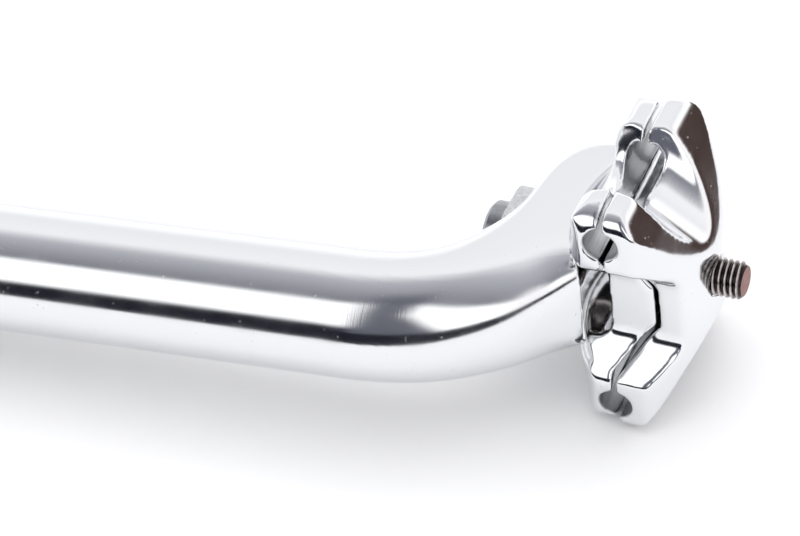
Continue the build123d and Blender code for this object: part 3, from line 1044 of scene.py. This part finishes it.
world = bpy.data.worlds.new("studio")
bpy.context.scene.world = world
world.use_nodes = True
background = world.node_tree.nodes["Background"]
toward = addNode(world, "ShaderNodeTexCoord", {}, {})
parts = addNode(world, "ShaderNodeSeparateXYZ", {}, {"Vector": (toward, "Generated")})
frontness = addNode(world, "ShaderNodeMath", {"operation": "MULTIPLY", 1: -1}, {0: (parts, "Y")})
around = addNode(
    world, "ShaderNodeMath", {"operation": "ARCTAN2"}, {0: (parts, "Z"), 1: (frontness, "Value")})
# on the right everything stands lower
rightOnly = addNode(world, "ShaderNodeMath", {"operation": "MAXIMUM", 1: 0}, {0: (parts, "X")})
lower = addNode(
    world, "ShaderNodeMath", {"operation": "MULTIPLY_ADD", 1: math.radians(studio["lowerOnRight"])},
    {0: (rightOnly, "Value"), 2: (around, "Value")})
share = addNode(world, "ShaderNodeMath", {"operation": "DIVIDE", 1: math.pi}, {0: (lower, "Value")})
strips = addNode(world, "ShaderNodeValToRGB", {}, {"Fac": (share, "Value")})
ramp = strips.color_ramp
for number, (angle, colour) in enumerate(studio["strips"]):
    stop = ramp.elements[number] if number < 1 else ramp.elements.new(angle / 180)
    stop.position = angle / 180
    stop.color = linear(colour)
while len(ramp.elements) > len(studio["strips"]):
    ramp.elements.remove(ramp.elements[-1])

softly = {"interpolation_type": "SMOOTHSTEP", "To Min": 0, "To Max": 1}
fades = {}
for name, (axis, start, end) in studio["fades"].items():
    fades[name] = addNode(
        world, "ShaderNodeMapRange", {**softly, "From Min": start, "From Max": end}, {"Value": (parts, axis)})
gapLine = addNode(
    world, "ShaderNodeMath", {"operation": "MULTIPLY_ADD", 1: studio["gapSlope"], 2: studio["gapStart"]},
    {0: (around, "Value")})
gapEdge = addNode(
    world, "ShaderNodeMath", {"operation": "MINIMUM", 1: studio["gapLimit"]}, {0: (gapLine, "Value")})
gapOff = addNode(world, "ShaderNodeMath", {"operation": "ADD"}, {0: (parts, "X"), 1: (gapEdge, "Value")})
fades["gapRight"] = addNode(
    world, "ShaderNodeMapRange",
    {**softly, "From Min": studio["gapSoftness"], "From Max": -studio["gapSoftness"]},
    {"Value": (gapOff, "Value")})
gapFrom, gapFull = studio["gapTop"]
fades["gapFront"] = addNode(
    world, "ShaderNodeMapRange", {"From Min": gapFrom, "From Max": gapFull, "To Min": 0, "To Max": 1},
    {"Value": (around, "Value")})

# over the strips: the gap that the photographer stands in, between the left and the right light,
# a pale room far to the right, and a dark corner low at the right rear
sky = (strips, "Color")
for colour, names in (
    ("gapColour", ("gapRight", "gapLeft", "gapFront")),
    ("farRightColour", ("farRight",)),
    ("rearCornerColour", ("lowDown", "toRight", "toRear")),
):
    mask = (fades[names[0]], "Result")
    for name in names[1:]:
        both = addNode(
            world, "ShaderNodeMath", {"operation": "MULTIPLY"}, {0: mask, 1: (fades[name], "Result")})
        mask = (both, "Value")
    mixed = addNode(
        world, "ShaderNodeMix", {"data_type": "RGBA", 7: linear(studio[colour])}, {0: mask, 6: sky})
    sky = (mixed, 2)
world.node_tree.links.new(mixed.outputs[2], background.inputs["Color"])
background.inputs["Strength"].default_value = studio["strength"]

# Camera where the photographer stood
shot = {
    "azimuth": 21.308,
    "elevation": 43.9,
    "roll": -5.65,
    "lens": 132.25,
    "aim": (0.08852, 0.00429, 0.02024),
    "away": 0.61117,
}
turn, rise, roll = (math.radians(shot[key]) for key in ("azimuth", "elevation", "roll"))
back = Vector((math.sin(turn) * math.cos(rise), -math.cos(turn) * math.cos(rise), math.sin(rise)))
level = Vector((math.cos(turn), math.sin(turn), 0))
upright = back.cross(level)
right = level * math.cos(roll) + upright * math.sin(roll)
bpy.ops.object.camera_add()
camera = bpy.context.object
camera.data.lens = shot["lens"]
camera.data.clip_start = 0.01
camera.matrix_world = drawnIn(Vector(shot["aim"]) + back * shot["away"], right, back.cross(right), back)
bpy.context.scene.camera = camera
bpy.context.scene.view_settings.view_transform = "Standard"
print("studio and camera set")
